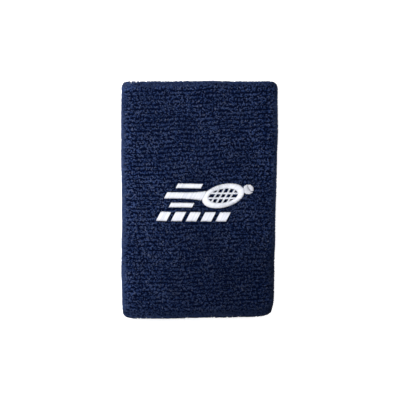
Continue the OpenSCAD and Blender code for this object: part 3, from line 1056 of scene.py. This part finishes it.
def make_underside():
    """The bobbin thread that locks the satin under the outer ply, and the backing it is sewn through."""
    cols = [c for cols in MOTIF.values() for c in cols]
    depth = PILE + KNIT + 0.45
    vs, qs, cs, ys, off = [], [], [], [], 0
    for p0, p1, closed in cols:
        p0, p1 = p0[::2], p1[::2]
        n = len(p0)
        if n < 2:
            continue
        s = np.array([0.18, 0.24, 0.5, 0.76, 0.82])
        xy = p0[:, None, :] * (1 - s[None, :, None]) + p1[:, None, :] * s[None, :, None]
        z = HEIGHT - depth - 0.2 - 0.1 - 0.03 * np.array([-3, 0, 1, 0, -3])[None, :] * np.ones((n, 1))
        pts = drape(np.concatenate([xy, z[..., None]], -1))
        v, q, c, le = tubes(pts, np.full(pts.shape[:2], 0.07), 5, np.tile([0.0, 0.0, 1.0], (n, 1)) + 1e-3)
        yarn = np.zeros((n, len(s), 5, 3))
        yarn[..., 0], yarn[..., 1], yarn[..., 2] = le[:, :, None], (np.arange(5) / 5)[None, None, :], 0.5
        vs.append(v.reshape(-1, 3)), ys.append(yarn.reshape(-1, 3)), qs.append(q + off), cs.append(c + off)
        off += n * len(s) * 5
    v = np.concatenate(vs)
    bob = build(
        "bobbin_thread_underside", v, [np.concatenate(qs), np.concatenate(cs)], BOBBIN, True, v[:, :2].copy(),
        {"yarn": np.concatenate(ys)},
    )
    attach(bob, "front_wall")
    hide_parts("bobbin_stitches")
    # backing: a torn-away patch with softly rounded corners
    lo, hi = box("embroidery_backing")
    cx, cy = (lo[:2] + hi[:2]) / 2
    hx, hy = (hi[:2] - lo[:2]) / 2
    g = np.random.default_rng(9)
    a = np.linspace(0, 2 * math.pi, 161)[:-1]
    rim = np.sign(np.cos(a)) * np.abs(np.cos(a)) ** 0.22 * hx, np.sign(np.sin(a)) * np.abs(np.sin(a)) ** 0.22 * hy
    rough = 1 + 0.008 * g.normal(size=len(a))
    rings = np.linspace(0.04, 1, 14)
    grid = np.stack([cx + rings[:, None] * (rim[0] * rough)[None, :], cy + rings[:, None] * (rim[1] * rough)[None, :]], -1)
    zt = np.full(grid.shape[:2], HEIGHT - depth)
    top = drape(np.concatenate([grid, zt[..., None]], -1)).reshape(-1, 3)
    bot = top - np.array([0, 0, 0.18])
    n, k = len(a), len(rings)
    i = np.arange(k - 1)[:, None]
    j = np.arange(n)[None, :]
    j2 = (j + 1) % n
    up = np.stack([i * n + j, (i + 1) * n + j, (i + 1) * n + j2, i * n + j2], -1).reshape(-1, 4)
    down = up[:, ::-1] + n * k
    e = (k - 1) * n
    rimq = np.stack([e + j, e + j + n * k, e + j2 + n * k, e + j2], -1).reshape(-1, 4)
    hole = np.stack([j + 0 * e, j2 + 0 * e, j2 + n * k, j + n * k], -1).reshape(-1, 4)
    v = np.concatenate([top, bot])
    back = build("embroidery_backing_sheet", v, [up, down, rimq, hole], BACKING, True, v[:, :2].copy())
    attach(back, "front_wall")
    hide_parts("embroidery_backing")
    return bob, back


# ---------------------------------------------------------------- the object

pile = make_pile()
ground = make_ground()
elastic = make_elastic()
looper, needle = make_seam()
motif = make_motif()
bobbin, backing = make_underside()

# ---------------------------------------------------------------- floor, light and camera


def make_floor():
    n = 96
    a = np.linspace(0, 2 * math.pi, n + 1)[:-1]
    # flat for 2.5 m, then sweeping up all round
    turn = np.radians([0, 12, 25, 38, 50, 62, 74, 84, 90])
    rings = [(r, 0.0) for r in (0.0001, 0.15, 0.6, 1.5)]
    rings += [(2.5 + 0.7 * math.sin(q), 0.7 - 0.7 * math.cos(q)) for q in turn] + [(3.2, 1.0)]
    v = np.concatenate([np.stack([r * np.cos(a), r * np.sin(a), 0 * a + z], -1) for r, z in rings]) * 1000
    v[:, 2] -= 0.05
    i = np.arange(len(rings) - 1)[:, None]
    j = np.arange(n)[None, :]
    j2 = (j + 1) % n
    quads = np.stack([i * n + j, (i + 1) * n + j, (i + 1) * n + j2, i * n + j2], -1).reshape(-1, 4)
    m, nt, bsdf = material("pale_floor")
    grain = noise(nt, 400.0, 2.0, 0.5)
    nt.links.new(ramp(nt, grain, [(0.3, (0.86, 0.86, 0.865)), (0.7, (0.89, 0.89, 0.895))]), bsdf.inputs["Base Color"])
    bsdf.inputs["Roughness"].default_value = 0.9
    bsdf.inputs["Specular IOR Level"].default_value = 0.1
    bsdf.inputs["Emission Color"].default_value = (1, 1, 1, 1)
    bsdf.inputs["Emission Strength"].default_value = 0.68
    ob = build("floor", v, [quads], m)
    return ob


def lamp(name, where, target, size, power, colour=(1, 1, 1)):
    data = bpy.data.lights.new(name, "AREA")
    data.shape = "DISK"
    data.size = size
    data.energy = power
    data.color = colour
    ob = bpy.data.objects.new(name, data)
    bpy.context.scene.collection.objects.link(ob)
    from mathutils import Vector

    ob.location = where
    ob.rotation_mode = "QUATERNION"
    ob.rotation_quaternion = (Vector(target) - Vector(where)).to_track_quat("-Z", "Y")
    ob.visible_camera = False
    return ob


floor = make_floor()
world = bpy.data.worlds.new("studio")
bpy.context.scene.world = world
world.use_nodes = True
bg = world.node_tree.nodes["Background"]
bg.inputs[0].default_value = (0.97, 0.98, 1.0, 1)
bg.inputs[1].default_value = 0.40
key = lamp("key", (-0.12, 0.06, 0.25), (0, 0, 0.01), 0.12, 0.68, (1.0, 0.995, 0.985))
top = lamp("top", (0.1, 0.15, 1.1), (0, 0, 0), 0.9, 2.0)

cam_data = bpy.data.cameras.new("camera")
cam_data.lens = 85
cam_data.sensor_width = 36
cam_data.clip_start, cam_data.clip_end = 0.01, 100
camera = bpy.data.objects.new("camera", cam_data)
bpy.context.scene.collection.objects.link(camera)
camera.location = (0.00025, 0.0, HEIGHT * 0.001 + 0.5015)
bpy.context.scene.camera = camera

view = bpy.context.scene.view_settings
view.view_transform = "Standard"
view.look = "None"
view.exposure = 0.0
view.gamma = 1.0
